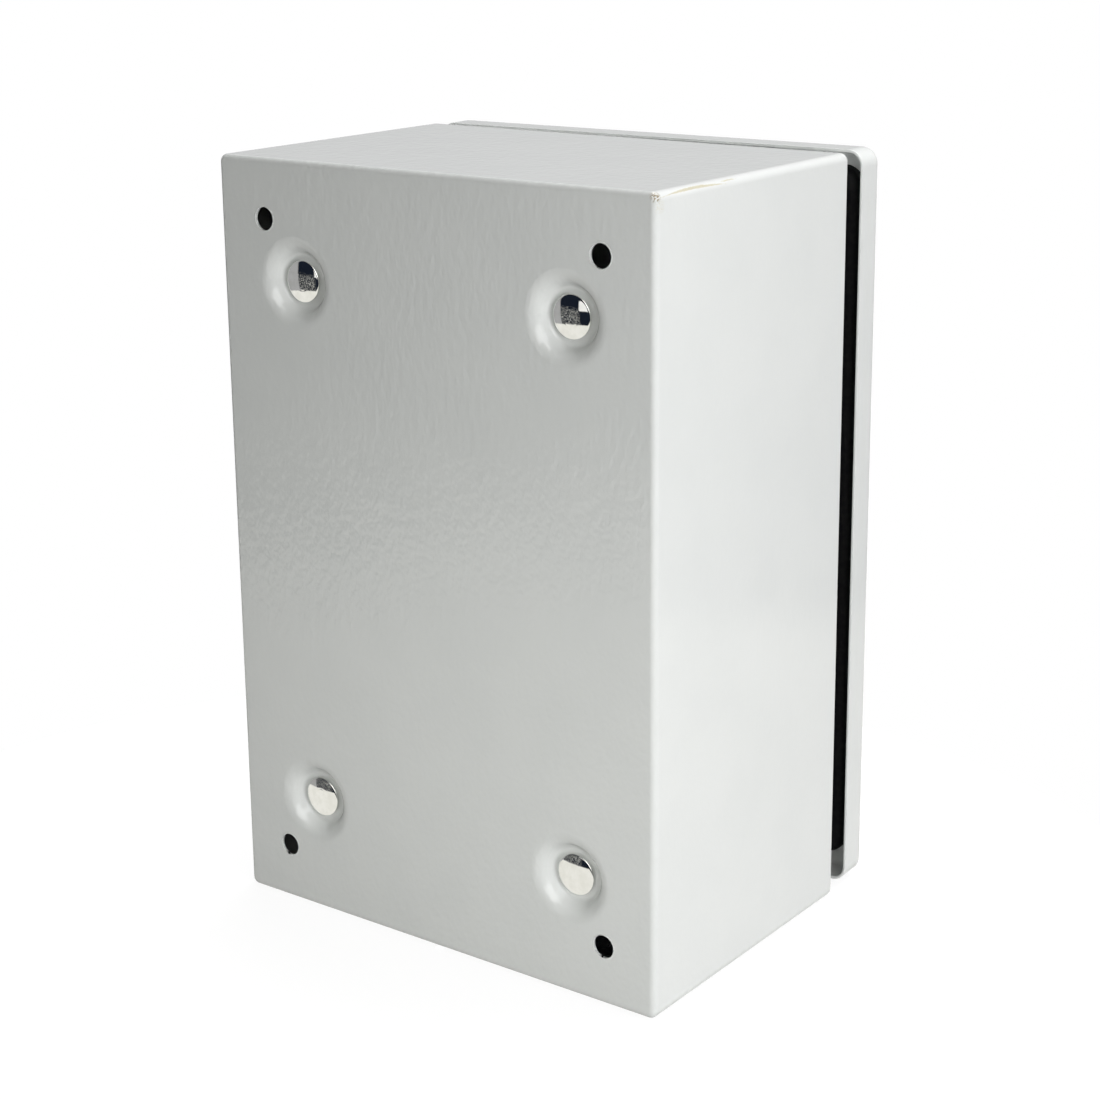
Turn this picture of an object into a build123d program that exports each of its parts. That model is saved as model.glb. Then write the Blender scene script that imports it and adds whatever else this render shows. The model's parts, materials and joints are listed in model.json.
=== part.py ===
from build123d import *
import os
from math import asin, cos, degrees, radians, sin

os.makedirs("parts", exist_ok=True)

# A small wall cabinet of folded sheet steel with a hinged door, in millimetres.
# X runs across the cabinet as seen from the front, Y runs into the wall and Z is up.
# The origin is the centre of the four wall holes, on the outer face of the back.
# A depth is measured from that face towards the door, so depth d lies at y = -d.
# The door is modelled a little way open, as it stands when its lock isn't turned.

# Cabinet body
body_width = 200.0
body_height = 300.0
body_depth = 129.0
sheet = 1.2
corner_radius = 3.0
back_bend = 2.2
front_bend = 2.8
lip_inset = 10.5
lip_height = 10.0
lip_bend = 1.0
lip_corner = 9.0

# Holes for the wall screws, measured from the sides and ends of the body
wall_hole = 9.0
wall_hole_side = 22.5
wall_hole_end = 23.0

# Mounting plate and the pressed dimples that hold it off the back
plate_side_gap = 25.0
plate_end_gap = 25.0
plate_thickness = 2.0
plate_corner_cut = 14.0
stud_side = 12.5
stud_end = 21.0
dimple_radius = 17.5
dimple_depth = 5.4
dimple_rim_bend = 6.2
dimple_foot_bend = 1.8
dimple_slope = 57.0

# Studs, washers and nuts of the mounting plate
stud_diameter = 8.0
stud_head = 16.0
stud_head_rim = 1.5
stud_head_dome = 0.7
stud_tip_chamfer = 0.8
stud_spare = 3.0
stud_hole_gap = 0.2
plate_hole_gap = 0.5
washer_diameter = 16.0
washer_thickness = 1.6
nut_width = 13.0
nut_height = 6.5

# Gland plate over the cable cut-out in the floor
cutout_width = 110.0
cutout_depth = 60.0
cutout_corner = 4.0
gland_overlap = 15.0
gland_middle = 70.0
gland_sheet = 1.5
gland_seal = 2.0
gland_stud = 5.0
gland_stud_edge = 7.5
gland_stud_foot = 6.6
gland_stud_foot_height = 0.8
gland_stud_spare = 2.0
gland_hole_gap = 0.4
gland_washer = 10.0
gland_washer_thickness = 1.0
gland_nut_width = 8.0
gland_nut_height = 4.0

# Earth studs inside the body and the door
earth_stud = 6.0
earth_foot = 7.6
earth_foot_height = 0.8
earth_length = 12.0
earth_washer = 12.0
earth_washer_thickness = 1.6
earth_nut_width = 10.0
earth_nut_height = 5.0
earth_end = 28.0
earth_depth = 65.0
door_earth_side = 30.0

# Door, a little shorter than the body and hung a little high
door_ajar = 1.6
door_gap = 4.3
door_depth = 14.2
door_short = 1.4
door_lift = 0.6
door_corner = 6.4
door_bend = 3.0
door_edge_round = 0.5
gasket_width = 11.0
gasket_inset = 5.0
gasket_hinge_inset = 7.0
gasket_end_inset = 7.4
gasket_corner = 9.0
gasket_crown = 4.0
gasket_clearance = 0.3

# Hinges
hinge_inset = 4.0
hinge_reach = 7.5
hinge_end = 40.0
hinge_pin = 3.0
hinge_pin_head = 4.6
hinge_pin_head_height = 1.0
hinge_pin_tail = 2.4
hinge_knuckle = 4.8
hinge_length = 14.0
hinge_ear = 2.0
hinge_side_gap = 0.3
hinge_foot_length = 40.0
hinge_foot = 1.8
hinge_foot_chamfer = 1.4
hinge_arm = 1.8
hinge_arm_shift = 0.5
pin_running_gap = 0.05
pin_press_gap = 0.01
clip_diameter = 5.2
clip_thickness = 0.6
clip_groove = 2.2
clip_mouth = 1.8

# Quarter-turn lock
lock_inset = 34.0
lock_level = 0.0
lock_flange = 28.0
lock_flange_height = 2.5
lock_flange_round = 0.8
lock_seal_thickness = 0.8
lock_seal_edge = 0.6
lock_barrel = 22.0
lock_barrel_flats = 20.0
lock_hole_gap = 0.25
lock_nut_width = 27.0
lock_nut_height = 5.0
lock_core = 12.0
lock_core_head = 17.0
lock_core_head_height = 2.3
lock_core_sink = 0.3
lock_running_gap = 0.06
lock_end_play = 0.3
key_hole = 3.4
key_slot = 9.6
key_slot_width = 3.0
key_pin = 3.0
key_depth = 8.0
cam_thickness = 2.0
cam_width = 14.0
cam_hub = 18.0
cam_square = 7.0
cam_square_gap = 0.1
cam_tip_round = 2.0
cam_wall_gap = 3.0
cam_screw = 6.0
cam_screw_depth = 9.0
cam_screw_head = 10.0
cam_screw_head_height = 4.0
cam_washer = 12.0
cam_washer_thickness = 1.6
cam_washer_gap = 0.2

# Keeper that the cam of the lock turns behind
keeper_sheet = 1.5
keeper_reach = 8.0
keeper_height = 24.0
keeper_leg = 7.5
keeper_inner_bend = 0.5
keeper_latch_gap = 0.5

# Places worked out from the sizes above
half_width = body_width / 2
half_height = body_height / 2
lip_width = body_width - 2 * lip_inset
lip_span = body_height - 2 * lip_inset
lip_inner_x = half_width - lip_inset - sheet
plate_width = body_width - 2 * plate_side_gap
plate_height = body_height - 2 * plate_end_gap
stud_pitch_x = plate_width - 2 * stud_side
stud_pitch_z = plate_height - 2 * stud_end
wall_pitch_x = body_width - 2 * wall_hole_side
wall_pitch_z = body_height - 2 * wall_hole_end
plate_seat = dimple_depth + sheet
plate_face = plate_seat + plate_thickness
floor_level = sheet - half_height
gland_seat = floor_level + gland_seal
gland_face = gland_seat + gland_sheet
gland_width = cutout_width + 2 * gland_overlap
gland_depth = cutout_depth + 2 * gland_overlap
gland_pitch_x = gland_width - 2 * gland_stud_edge
gland_pitch_y = gland_depth - 2 * gland_stud_edge
earth_level = earth_end - half_height
hinge_level = half_height - hinge_end
hinge_x = half_width - hinge_inset
hinge_depth = body_depth + hinge_reach

# The door's own frame has its origin on the hinge axis, its X across the door and its
# Z out of the door's face. What hangs on the door is placed in it, so it swings along.
swing = radians(door_ajar)
door_frame = Plane(
    origin=(hinge_x, -hinge_depth, 0),
    x_dir=(cos(swing), sin(swing), 0),
    z_dir=(sin(swing), -cos(swing), 0),
)
door_out = Axis(door_frame.origin, door_frame.z_dir)
door_rear = door_gap - hinge_reach
door_front = door_rear + door_depth
door_inside = door_front - sheet
door_height = body_height - door_short
gasket_top = lip_height + gasket_clearance - hinge_reach
lock_x = lock_inset - hinge_x - half_width
keeper_rear = body_depth + lip_bend
cam_front = lip_bend - keeper_latch_gap - hinge_reach
cam_rear = cam_front - cam_thickness
cam_reach = lock_inset - lip_inset - sheet - keeper_sheet - cam_wall_gap
barrel_rear = cam_front + lock_end_play
flange_rear = door_front + lock_seal_thickness
flange_front = flange_rear + lock_flange_height

stud_places = [
    (x, 0, z)
    for x in (-stud_pitch_x / 2, stud_pitch_x / 2)
    for z in (-stud_pitch_z / 2, stud_pitch_z / 2)
]


def dimple(skin):
    """One dimple as a solid of revolution about Y, out to a skin that far inside the metal."""
    slope = radians(dimple_slope)
    bend_depth = (dimple_rim_bend + dimple_foot_bend) * (1 - cos(slope))
    straight = (dimple_depth - bend_depth) / sin(slope)
    with BuildPart() as dish:
        with BuildSketch(Plane.XY):
            with BuildLine():
                rim = JernArc((dimple_radius, -skin), (-1, 0), dimple_rim_bend - skin, dimple_slope)
                wall = PolarLine(rim @ 1, straight, direction=rim % 1)
                foot = JernArc(wall @ 1, wall % 1, dimple_foot_bend + skin, -dimple_slope)
                bottom = Line(foot @ 1, (0, -skin - dimple_depth))
                centre = Line(bottom @ 1, (0, -skin))
                Line(centre @ 1, rim @ 0)
            make_face()
        revolve(axis=Axis.Y)
    return dish.part


# The space inside the body and its door opening. The bends are the sheet's inner ones.
with BuildPart() as cavity:
    with BuildSketch(Plane.XZ.offset(sheet)):
        RectangleRounded(body_width - 2 * sheet, body_height - 2 * sheet, corner_radius - sheet)
    extrude(amount=body_depth - 2 * sheet)
    fillet(cavity.faces().sort_by(Axis.Y)[-1].edges(), back_bend - sheet)
    fillet(cavity.faces().sort_by(Axis.Y)[0].edges(), front_bend - sheet)
    with BuildSketch(Plane.XZ.offset(body_depth - sheet)):
        RectangleRounded(lip_width - 2 * sheet, lip_span - 2 * sheet, lip_corner - sheet)
    extrude(amount=sheet + lip_height)
    shoulder = cavity.faces().filter_by(Axis.Y).sort_by(Axis.Y)[1]
    fillet(shoulder.inner_wires()[0].edges(), lip_bend + sheet)

# Body shell: one sheet folded into back and sides, with the front bent in as a shoulder
# and then forwards as the lip that presses into the door's gasket.
with BuildPart() as body_shell:
    with BuildSketch(Plane.XZ):
        RectangleRounded(body_width, body_height, corner_radius)
    extrude(amount=body_depth)
    fillet(body_shell.faces().sort_by(Axis.Y)[-1].edges(), back_bend)
    fillet(body_shell.faces().sort_by(Axis.Y)[0].edges(), front_bend)
    with BuildSketch(Plane.XZ.offset(body_depth)):
        RectangleRounded(lip_width, lip_span, lip_corner)
    extrude(amount=lip_height)
    gutter = body_shell.faces().filter_by(Axis.Y).sort_by(Axis.Y)[1]
    fillet(gutter.inner_wires()[0].edges(), lip_bend)
    add(cavity.part, mode=Mode.SUBTRACT)
    with Locations(*stud_places):
        add(dimple(sheet))
    with Locations(*stud_places):
        add(dimple(0), mode=Mode.SUBTRACT)
    with BuildSketch(Plane.XZ):
        with GridLocations(stud_pitch_x, stud_pitch_z, 2, 2):
            Circle(stud_diameter / 2 + stud_hole_gap)
        with GridLocations(wall_pitch_x, wall_pitch_z, 2, 2):
            Circle(wall_hole / 2)
    extrude(amount=plate_seat, mode=Mode.SUBTRACT)
    with BuildSketch(Plane.XY.offset(-half_height)):
        with Locations((0, -gland_middle)):
            RectangleRounded(cutout_width, cutout_depth, cutout_corner)
    extrude(amount=sheet, mode=Mode.SUBTRACT)

# Headed studs, welded in the dimples with their round heads outside
with BuildPart() as one_stud:
    with BuildSketch(Plane.XY):
        head_top = (0, stud_head_rim + stud_head_dome - dimple_depth)
        dome_radius = (stud_head**2 / 4 + stud_head_dome**2) / (2 * stud_head_dome)
        dome_angle = degrees(asin(stud_head / 2 / dome_radius))
        shank = stud_diameter / 2
        tip = -(plate_face + washer_thickness + nut_height + stud_spare)
        with BuildLine():
            dome = JernArc(head_top, (1, 0), dome_radius, -dome_angle)
            Polyline(
                dome @ 1,
                (stud_head / 2, -dimple_depth),
                (shank, -dimple_depth),
                (shank, tip + stud_tip_chamfer),
                (shank - stud_tip_chamfer, tip),
                (0, tip),
                head_top,
            )
        make_face()
    revolve(axis=Axis.Y)

with BuildPart() as plate_studs:
    with Locations(*stud_places):
        add(one_stud.part)

# Mounting plate, with its corners cut off to leave the wall screws free
with BuildPart() as mounting_plate:
    with BuildSketch(Plane.XZ.offset(plate_seat)) as plate_outline:
        Rectangle(plate_width, plate_height)
        chamfer(plate_outline.vertices(), plate_corner_cut)
        with GridLocations(stud_pitch_x, stud_pitch_z, 2, 2):
            Circle(stud_diameter / 2 + plate_hole_gap, mode=Mode.SUBTRACT)
    extrude(amount=plate_thickness)

with BuildPart() as plate_washers:
    with BuildSketch(Plane.XZ.offset(plate_face)):
        with GridLocations(stud_pitch_x, stud_pitch_z, 2, 2):
            Circle(washer_diameter / 2)
            Circle(stud_diameter / 2 + stud_hole_gap, mode=Mode.SUBTRACT)
    extrude(amount=washer_thickness)

with BuildPart() as plate_nuts:
    with BuildSketch(Plane.XZ.offset(plate_face + washer_thickness)):
        with GridLocations(stud_pitch_x, stud_pitch_z, 2, 2):
            RegularPolygon(nut_width / 2, 6, major_radius=False)
            Circle(stud_diameter / 2 + pin_press_gap, mode=Mode.SUBTRACT)
    extrude(amount=nut_height)

# Gland plate on its foam seal, held down on welded studs from inside
with BuildPart() as gland_gasket:
    with BuildSketch(Plane.XY.offset(floor_level)):
        with Locations((0, -gland_middle)):
            RectangleRounded(gland_width, gland_depth, cutout_corner)
            RectangleRounded(cutout_width, cutout_depth, cutout_corner, mode=Mode.SUBTRACT)
            with GridLocations(gland_pitch_x, gland_pitch_y, 2, 2):
                Circle(gland_stud_foot / 2 + gland_hole_gap, mode=Mode.SUBTRACT)
    extrude(amount=gland_seal)

with BuildPart() as gland_plate:
    with BuildSketch(Plane.XY.offset(gland_seat)):
        with Locations((0, -gland_middle)):
            RectangleRounded(gland_width, gland_depth, cutout_corner)
            with GridLocations(gland_pitch_x, gland_pitch_y, 2, 2):
                Circle(gland_stud / 2 + gland_hole_gap, mode=Mode.SUBTRACT)
    extrude(amount=gland_sheet)

with BuildPart() as gland_studs:
    gland_tip = gland_face + gland_washer_thickness + gland_nut_height + gland_stud_spare
    with BuildSketch(Plane.XY.offset(floor_level)):
        with Locations((0, -gland_middle)):
            with GridLocations(gland_pitch_x, gland_pitch_y, 2, 2):
                Circle(gland_stud_foot / 2)
    extrude(amount=gland_stud_foot_height)
    with BuildSketch(Plane.XY.offset(floor_level)):
        with Locations((0, -gland_middle)):
            with GridLocations(gland_pitch_x, gland_pitch_y, 2, 2):
                Circle(gland_stud / 2)
    extrude(amount=gland_tip - floor_level)

with BuildPart() as gland_washers:
    with BuildSketch(Plane.XY.offset(gland_face)):
        with Locations((0, -gland_middle)):
            with GridLocations(gland_pitch_x, gland_pitch_y, 2, 2):
                Circle(gland_washer / 2)
                Circle(gland_stud / 2 + stud_hole_gap, mode=Mode.SUBTRACT)
    extrude(amount=gland_washer_thickness)

with BuildPart() as gland_nuts:
    with BuildSketch(Plane.XY.offset(gland_face + gland_washer_thickness)):
        with Locations((0, -gland_middle)):
            with GridLocations(gland_pitch_x, gland_pitch_y, 2, 2):
                RegularPolygon(gland_nut_width / 2, 6, major_radius=False)
                Circle(gland_stud / 2 + pin_press_gap, mode=Mode.SUBTRACT)
    extrude(amount=gland_nut_height)


def earth_set(seat):
    """Earth stud, washer and nut, standing on a plane at the metal that carries them."""
    with BuildPart() as bolt:
        with BuildSketch(seat):
            Circle(earth_foot / 2)
        extrude(amount=earth_foot_height)
        with BuildSketch(seat):
            Circle(earth_stud / 2)
        extrude(amount=earth_length)
    with BuildPart() as ring:
        with BuildSketch(seat.offset(earth_foot_height)):
            Circle(earth_washer / 2)
            Circle(earth_stud / 2 + stud_hole_gap, mode=Mode.SUBTRACT)
        extrude(amount=earth_washer_thickness)
    with BuildPart() as nut:
        with BuildSketch(seat.offset(earth_foot_height + earth_washer_thickness)):
            RegularPolygon(earth_nut_width / 2, 6, major_radius=False)
            Circle(earth_stud / 2 + pin_press_gap, mode=Mode.SUBTRACT)
        extrude(amount=earth_nut_height)
    return bolt, ring, nut


body_earth_seat = Plane(
    origin=(half_width - sheet, -earth_depth, earth_level),
    x_dir=(0, 1, 0),
    z_dir=(-1, 0, 0),
)
body_earth_stud, body_earth_washer, body_earth_nut = earth_set(body_earth_seat)

door_earth_place = (hinge_inset - door_earth_side, earth_level)
door_earth_seat = Plane(
    origin=door_frame.from_local_coords((*door_earth_place, door_inside)),
    x_dir=door_frame.x_dir,
    z_dir=-door_frame.z_dir,
)
door_earth_stud, door_earth_washer, door_earth_nut = earth_set(door_earth_seat)

# Keeper: an angle welded inside the lip, which the cam of the lock turns behind
with BuildPart() as lock_keeper:
    with BuildSketch(Plane.XY.offset(lock_level - keeper_height / 2)) as angle:
        with Locations((-lip_inner_x, -keeper_rear)):
            Rectangle(keeper_reach, keeper_sheet, align=(Align.MIN, Align.MAX))
            Rectangle(keeper_sheet, keeper_leg, align=(Align.MIN, Align.MAX))
        corner = angle.vertices().sort_by_distance((keeper_sheet - lip_inner_x, -keeper_rear - keeper_sheet))
        fillet(corner[0], keeper_inner_bend)
    extrude(amount=keeper_height)

# Door panel: a pan folded from one sheet, its corners welded and ground round
with BuildPart() as door_panel:
    with BuildSketch(door_frame.offset(door_rear)):
        with Locations((-hinge_x, door_lift)):
            RectangleRounded(body_width, door_height, door_corner)
    extrude(amount=door_depth)
    fillet(door_panel.faces().sort_by(door_out)[-1].edges(), door_bend)
    with BuildSketch(door_frame.offset(door_rear)):
        with Locations((-hinge_x, door_lift)):
            RectangleRounded(body_width - 2 * sheet, door_height - 2 * sheet, door_corner - sheet)
    extrude(amount=door_depth - sheet, mode=Mode.SUBTRACT)
    fillet(door_panel.faces().filter_by(door_frame).sort_by(door_out)[1].edges(), door_bend - sheet)
    fillet(door_panel.faces().filter_by(door_frame).sort_by(door_out)[0].edges(), door_edge_round)
    with BuildSketch(door_frame.offset(door_inside)):
        with Locations((lock_x, lock_level)):
            Circle(lock_barrel / 2 + lock_hole_gap)
            Rectangle(lock_barrel_flats + 2 * lock_hole_gap, body_height, mode=Mode.INTERSECT)
    extrude(amount=sheet, mode=Mode.SUBTRACT)

# Gasket: a domed bead of foam round the inside of the door, just clear of the closed lip
with BuildPart() as door_gasket:
    bead_width = body_width - gasket_inset - gasket_hinge_inset
    bead_height = door_height - 2 * gasket_end_inset
    bead_shift = (gasket_inset - gasket_hinge_inset) / 2
    inner_corner = max(gasket_corner - gasket_width, gasket_crown)
    with BuildSketch(door_frame.offset(gasket_top)):
        with Locations((bead_shift - hinge_x, door_lift)):
            RectangleRounded(bead_width, bead_height, gasket_corner)
            RectangleRounded(
                bead_width - 2 * gasket_width,
                bead_height - 2 * gasket_width,
                inner_corner,
                mode=Mode.SUBTRACT,
            )
    extrude(amount=door_inside - gasket_top)
    fillet(door_gasket.faces().sort_by(door_out)[0].edges(), gasket_crown)


def hinge(level):
    """Body arm, door bracket, pin and clip of one hinge whose middle is at that height."""
    knuckle_low = level - hinge_length / 2
    ear_low = knuckle_low - hinge_side_gap - hinge_ear
    ear_high = knuckle_low + hinge_length + hinge_side_gap
    axis_foot = Plane(
        origin=(hinge_x, -hinge_depth, 0),
        x_dir=door_frame.x_dir,
        z_dir=(0, 0, 1),
    )

    with BuildPart() as arm:
        with BuildSketch(Plane.XY.offset(knuckle_low)):
            with Locations((half_width - lip_inset, -hinge_depth - hinge_arm_shift)):
                Rectangle(lip_inset - hinge_inset, hinge_arm, align=(Align.MIN, Align.CENTER))
            with Locations((hinge_x, -hinge_depth)):
                Circle(hinge_knuckle / 2)
                Circle(hinge_pin / 2 + pin_running_gap, mode=Mode.SUBTRACT)
        extrude(amount=hinge_length)

    with BuildPart() as bracket:
        with BuildSketch(axis_foot.offset(level - hinge_foot_length / 2)) as foot:
            with Locations((0, -door_inside)):
                Rectangle(hinge_knuckle, hinge_foot, align=(Align.CENTER, Align.MIN))
            chamfer(foot.vertices().group_by(Axis.Y)[0], hinge_foot_chamfer)
        extrude(amount=hinge_foot_length)
        for ear in (ear_low, ear_high):
            with BuildSketch(axis_foot.offset(ear)):
                Rectangle(hinge_knuckle, door_inside - hinge_foot, align=(Align.CENTER, Align.MAX))
                Circle(hinge_knuckle / 2)
                Circle(hinge_pin / 2 + pin_press_gap, mode=Mode.SUBTRACT)
            extrude(amount=hinge_ear)

    pin_low = ear_low - hinge_pin_tail
    head_low = ear_high + hinge_ear
    with BuildPart() as pin:
        with BuildSketch(axis_foot.offset(pin_low)):
            Circle(hinge_pin / 2)
        extrude(amount=head_low - pin_low)
        with BuildSketch(axis_foot.offset(head_low)):
            Circle(hinge_pin_head / 2)
        extrude(amount=hinge_pin_head_height)
        with BuildSketch(axis_foot.offset(ear_low - clip_thickness)):
            Circle(hinge_pin / 2)
            Circle(clip_groove / 2, mode=Mode.SUBTRACT)
        extrude(amount=clip_thickness, mode=Mode.SUBTRACT)

    with BuildPart() as clip:
        with BuildSketch(axis_foot.offset(ear_low - clip_thickness)):
            Circle(clip_diameter / 2)
            Circle(clip_groove / 2 + pin_press_gap, mode=Mode.SUBTRACT)
            Rectangle(clip_mouth, clip_diameter, align=(Align.CENTER, Align.MIN), mode=Mode.SUBTRACT)
        extrude(amount=clip_thickness)
    return arm, bracket, pin, clip


hinge_arm_upper, hinge_bracket_upper, hinge_pin_upper, pin_clip_upper = hinge(hinge_level)
hinge_arm_lower, hinge_bracket_lower, hinge_pin_lower, pin_clip_lower = hinge(-hinge_level)

# Lock housing: a flange on the door's face and a flatted barrel through it
with BuildPart() as lock_housing:
    with BuildSketch(door_frame.offset(barrel_rear)):
        with Locations((lock_x, lock_level)):
            Circle(lock_barrel / 2)
            Rectangle(lock_barrel_flats, lock_barrel, mode=Mode.INTERSECT)
    extrude(amount=flange_rear - barrel_rear)
    with BuildSketch(door_frame.offset(flange_rear)):
        with Locations((lock_x, lock_level)):
            Circle(lock_flange / 2)
    extrude(amount=lock_flange_height)
    fillet(lock_housing.faces().sort_by(door_out)[-1].edges(), lock_flange_round)
    with BuildSketch(door_frame.offset(barrel_rear)):
        with Locations((lock_x, lock_level)):
            Circle(lock_core / 2 + lock_running_gap)
    extrude(amount=flange_front - barrel_rear, mode=Mode.SUBTRACT)
    with BuildSketch(door_frame.offset(flange_front)):
        with Locations((lock_x, lock_level)):
            Circle(lock_core_head / 2 + lock_running_gap)
    extrude(amount=-(lock_core_head_height + lock_core_sink + lock_running_gap), mode=Mode.SUBTRACT)

with BuildPart() as lock_seal:
    with BuildSketch(door_frame.offset(door_front)):
        with Locations((lock_x, lock_level)):
            Circle(lock_flange / 2 - lock_seal_edge)
            Circle(lock_barrel / 2 + lock_hole_gap, mode=Mode.SUBTRACT)
    extrude(amount=lock_seal_thickness)

with BuildPart() as lock_ring_nut:
    with BuildSketch(door_frame.offset(door_inside)):
        with Locations((lock_x, lock_level)):
            RegularPolygon(lock_nut_width / 2, 6, major_radius=False)
            Circle(lock_barrel / 2 + pin_press_gap, mode=Mode.SUBTRACT)
    extrude(amount=-lock_nut_height)

# Lock core, turned by a two-winged key over a pin, with a square that drives the cam
with BuildPart() as lock_core_piece:
    core_front = flange_front - lock_core_sink
    with BuildSketch(door_frame.offset(core_front)):
        with Locations((lock_x, lock_level)):
            Circle(lock_core_head / 2)
    extrude(amount=-lock_core_head_height)
    with BuildSketch(door_frame.offset(cam_front)):
        with Locations((lock_x, lock_level)):
            Circle(lock_core / 2)
    extrude(amount=core_front - lock_core_head_height - cam_front)
    with BuildSketch(door_frame.offset(cam_front)):
        with Locations((lock_x, lock_level)):
            Rectangle(cam_square, cam_square)
    extrude(amount=-(cam_thickness - cam_washer_gap))
    with BuildSketch(door_frame.offset(core_front)):
        with Locations((lock_x, lock_level)):
            Circle(key_hole)
            Rectangle(key_slot, key_slot_width)
            Circle(key_pin / 2, mode=Mode.SUBTRACT)
    extrude(amount=-key_depth, mode=Mode.SUBTRACT)
    with BuildSketch(door_frame.offset(cam_rear)):
        with Locations((lock_x, lock_level)):
            Circle(cam_screw / 2 + pin_press_gap)
    extrude(amount=cam_screw_depth, mode=Mode.SUBTRACT)

# Cam, hanging down in its open place. A quarter turn brings it behind the keeper.
with BuildPart() as lock_cam:
    with BuildSketch(door_frame.offset(cam_rear)) as cam_outline:
        with Locations((lock_x, lock_level)):
            Circle(cam_hub / 2)
            Rectangle(cam_width, cam_reach, align=(Align.CENTER, Align.MAX))
        fillet(cam_outline.vertices().group_by(Axis.Y)[0], cam_tip_round)
        with Locations((lock_x, lock_level)):
            Rectangle(cam_square + 2 * cam_square_gap, cam_square + 2 * cam_square_gap, mode=Mode.SUBTRACT)
    extrude(amount=cam_thickness)

with BuildPart() as cam_washer_piece:
    with BuildSketch(door_frame.offset(cam_rear)):
        with Locations((lock_x, lock_level)):
            Circle(cam_washer / 2)
            Circle(cam_screw / 2 + stud_hole_gap, mode=Mode.SUBTRACT)
    extrude(amount=-cam_washer_thickness)

with BuildPart() as cam_screw_piece:
    screw_seat = cam_rear - cam_washer_thickness
    with BuildSketch(door_frame.offset(screw_seat)):
        with Locations((lock_x, lock_level)):
            RegularPolygon(cam_screw_head / 2, 6, major_radius=False)
    extrude(amount=-cam_screw_head_height)
    with BuildSketch(door_frame.offset(screw_seat)):
        with Locations((lock_x, lock_level)):
            Circle(cam_screw / 2)
    extrude(amount=cam_washer_thickness + cam_screw_depth - cam_screw / 4)

body_shell.part.label = "body_shell"
plate_studs.part.label = "plate_studs"
mounting_plate.part.label = "mounting_plate"
plate_washers.part.label = "plate_washers"
plate_nuts.part.label = "plate_nuts"
gland_gasket.part.label = "gland_gasket"
gland_plate.part.label = "gland_plate"
gland_studs.part.label = "gland_studs"
gland_washers.part.label = "gland_washers"
gland_nuts.part.label = "gland_nuts"
body_earth_stud.part.label = "body_earth_stud"
body_earth_washer.part.label = "body_earth_washer"
body_earth_nut.part.label = "body_earth_nut"
hinge_arm_upper.part.label = "hinge_arm_upper"
hinge_arm_lower.part.label = "hinge_arm_lower"
lock_keeper.part.label = "lock_keeper"
door_panel.part.label = "door_panel"
door_gasket.part.label = "door_gasket"
hinge_bracket_upper.part.label = "hinge_bracket_upper"
hinge_bracket_lower.part.label = "hinge_bracket_lower"
hinge_pin_upper.part.label = "hinge_pin_upper"
hinge_pin_lower.part.label = "hinge_pin_lower"
pin_clip_upper.part.label = "pin_clip_upper"
pin_clip_lower.part.label = "pin_clip_lower"
door_earth_stud.part.label = "door_earth_stud"
door_earth_washer.part.label = "door_earth_washer"
door_earth_nut.part.label = "door_earth_nut"
lock_housing.part.label = "lock_housing"
lock_seal.part.label = "lock_seal"
lock_ring_nut.part.label = "lock_ring_nut"
lock_core_piece.part.label = "lock_core"
lock_cam.part.label = "lock_cam"
cam_washer_piece.part.label = "cam_washer"
cam_screw_piece.part.label = "cam_screw"

cabinet_pieces = [
    body_shell, plate_studs, mounting_plate, plate_washers, plate_nuts,
    gland_gasket, gland_plate, gland_studs, gland_washers, gland_nuts,
    body_earth_stud, body_earth_washer, body_earth_nut,
    hinge_arm_upper, hinge_arm_lower, lock_keeper,
]
door_pieces = [
    door_panel, door_gasket, hinge_bracket_upper, hinge_bracket_lower,
    hinge_pin_upper, hinge_pin_lower, pin_clip_upper, pin_clip_lower,
    door_earth_stud, door_earth_washer, door_earth_nut,
    lock_housing, lock_seal, lock_ring_nut,
]
lock_pieces = [lock_core_piece, lock_cam, cam_washer_piece, cam_screw_piece]

for piece in cabinet_pieces + door_pieces + lock_pieces:
    export_step(piece.part, f"parts/{piece.part.label}.step")
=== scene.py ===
# %% [markdown]
# A small wall box for electrical gear stands on a white table, seen from behind. Its solids
# come from the part's own model, so this script begins by loading them as a fixed frame.
# Everything that follows either gives a solid its finish or puts a finer piece in its place.

# %% Load the solids
import json
from math import cos, pi, radians, sin

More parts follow.
